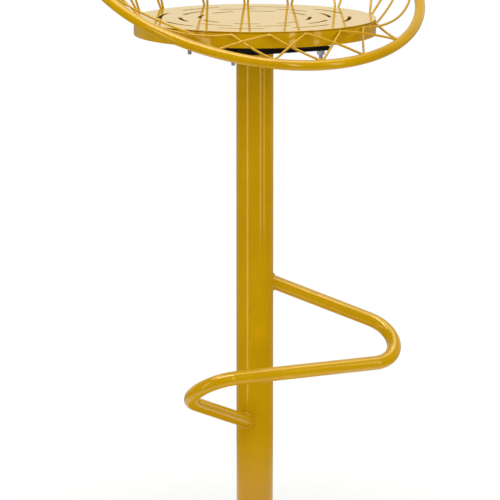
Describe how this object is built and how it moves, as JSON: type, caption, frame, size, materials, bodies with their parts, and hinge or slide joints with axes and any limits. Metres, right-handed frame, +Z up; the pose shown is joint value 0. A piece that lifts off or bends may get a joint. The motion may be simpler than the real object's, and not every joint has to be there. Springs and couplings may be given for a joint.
{
  "type": "bar stool",
  "caption": "Swivel bar stool with a slotted round metal pan, a low bowl of welded wire under a tilted hoop, a single column and a bent bar footrest.",
  "frame": {"origin": "on the floor, at the column's axis", "axes": "+Z up along the column, -Y the way the sitter faces, +X to the right of someone who looks at the stool's front"},
  "size_m": [0.4868, 0.4441, 0.9241],
  "materials": {
    "gold_paint": "gloss",
    "plate_paint": "satin",
    "zinc": "satin",
    "spindle_steel": "satin",
    "bushing": "matt"
  },
  "bodies": {
    "stand": {"base_plate": "gold_paint", "column_tube": "gold_paint", "footrest": "gold_paint", "swivel_sleeve": "bushing"},
    "seat": {"seat_plate": "plate_paint", "spindle": "spindle_steel", "seat_pan": "gold_paint", "pan_studs": "zinc", "hoop": "gold_paint", "lattice_wire_01_left": "gold_paint", "lattice_wire_01_right": "gold_paint", "lattice_wire_02_left": "gold_paint", "lattice_wire_02_right": "gold_paint", "lattice_wire_03_left": "gold_paint", "lattice_wire_03_right": "gold_paint", "lattice_wire_04_left": "gold_paint", "lattice_wire_04_right": "gold_paint", "lattice_wire_05_left": "gold_paint", "lattice_wire_05_right": "gold_paint", "lattice_wire_06_left": "gold_paint", "lattice_wire_06_right": "gold_paint", "lattice_wire_07_left": "gold_paint", "lattice_wire_07_right": "gold_paint", "lattice_wire_08_left": "gold_paint", "lattice_wire_08_right": "gold_paint", "lattice_wire_09_left": "gold_paint", "lattice_wire_09_right": "gold_paint", "lattice_wire_10_left": "gold_paint", "lattice_wire_10_right": "gold_paint", "lattice_wire_11_left": "gold_paint", "lattice_wire_11_right": "gold_paint", "lattice_wire_12_left": "gold_paint", "lattice_wire_12_right": "gold_paint", "lattice_wire_13_left": "gold_paint", "lattice_wire_13_right": "gold_paint", "lattice_wire_14_left": "gold_paint", "lattice_wire_14_right": "gold_paint", "lattice_wire_15_left": "gold_paint", "lattice_wire_15_right": "gold_paint", "lattice_wire_16_left": "gold_paint", "lattice_wire_16_right": "gold_paint"}
  },
  "joints": [
    {"name": "seat_swivel", "type": "hinge", "parent": "stand", "child": "seat", "pos_m": [0, 0, 0.7194], "axis": [0, 0, 1], "continuous": true}
  ]
}
